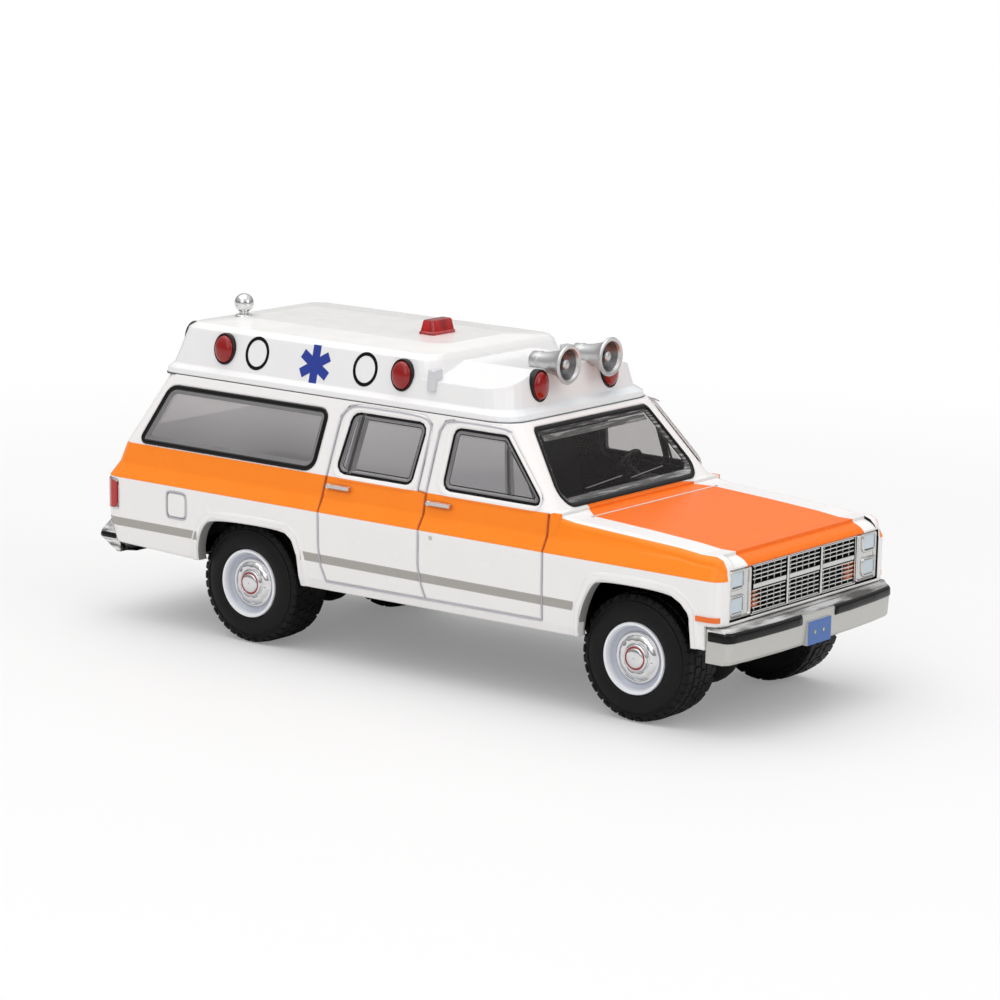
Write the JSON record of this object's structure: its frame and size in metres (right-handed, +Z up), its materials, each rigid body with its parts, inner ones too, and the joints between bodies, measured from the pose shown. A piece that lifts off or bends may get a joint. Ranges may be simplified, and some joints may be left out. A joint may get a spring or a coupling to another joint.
{
  "type": "scale model ambulance",
  "caption": "Die-cast scale model of a wagon ambulance with raised roof cap, lamps, horns and free-rolling wheels.",
  "frame": {"origin": "on the floor under the tyres, at the middle of the overall length and width", "axes": "+X forward to the grille, +Y to the model's left side, +Z up"},
  "size_m": [0.0864, 0.0318, 0.0368],
  "materials": {
    "chrome": "polished",
    "red_lens": "gloss",
    "body_paint": "gloss",
    "black_trim": "satin",
    "base_plastic": "matte",
    "interior_plastic": "matte",
    "steel": "satin",
    "plate_blue": "gloss",
    "rim_white": "gloss",
    "tyre": "matte",
    "grille_silver": "satin metallic",
    "clear_lens": "clear",
    "cap_paint": "gloss",
    "amber_lens": "gloss",
    "glazing": "clear"
  },
  "bodies": {
    "model": {"ball_lamp": "chrome", "beacon": "red_lens", "body_shell": "body_paint", "bumper_strips": "black_trim", "chassis_base": "base_plastic", "dashboard": "interior_plastic", "front_bumper": "chrome", "front_plate": "plate_blue", "grille_insert": "grille_silver", "headlamp_left": "clear_lens", "headlamp_right": "clear_lens", "horn_left": "chrome", "horn_right": "chrome", "interior_tub": "interior_plastic", "lamp_bezels": "black_trim", "rear_bumper": "chrome", "roof_cap": "cap_paint", "roof_lamp_front_left": "red_lens", "roof_lamp_front_right": "red_lens", "roof_lamp_rear_left": "red_lens", "roof_lamp_rear_right": "red_lens", "roof_markers": "chrome", "side_lamp_front_left": "red_lens", "side_lamp_front_right": "red_lens", "side_lamp_rear_left": "red_lens", "side_lamp_rear_right": "red_lens", "side_markers": "amber_lens", "steering_wheel": "interior_plastic", "tail_lamp_left": "red_lens", "tail_lamp_right": "red_lens", "turn_lamps": "amber_lens", "window_insert": "glazing"},
    "front_wheels": {"front_axle": "steel", "front_hub_cap_left": "chrome", "front_hub_cap_right": "chrome", "front_rim_left": "rim_white", "front_rim_right": "rim_white", "front_tyre_left": "tyre", "front_tyre_right": "tyre"},
    "rear_wheels": {"rear_axle": "steel", "rear_hub_cap_left": "chrome", "rear_hub_cap_right": "chrome", "rear_rim_left": "rim_white", "rear_rim_right": "rim_white", "rear_tyre_left": "tyre", "rear_tyre_right": "tyre"}
  },
  "joints": [
    {"name": "front_axle_spin", "type": "hinge", "parent": "model", "child": "front_wheels", "pos_m": [0.03035, 0, 0.0067], "axis": [0, 1, 0], "continuous": true},
    {"name": "rear_axle_spin", "type": "hinge", "parent": "model", "child": "rear_wheels", "pos_m": [-0.02105, 0, 0.0067], "axis": [0, 1, 0], "continuous": true}
  ]
}
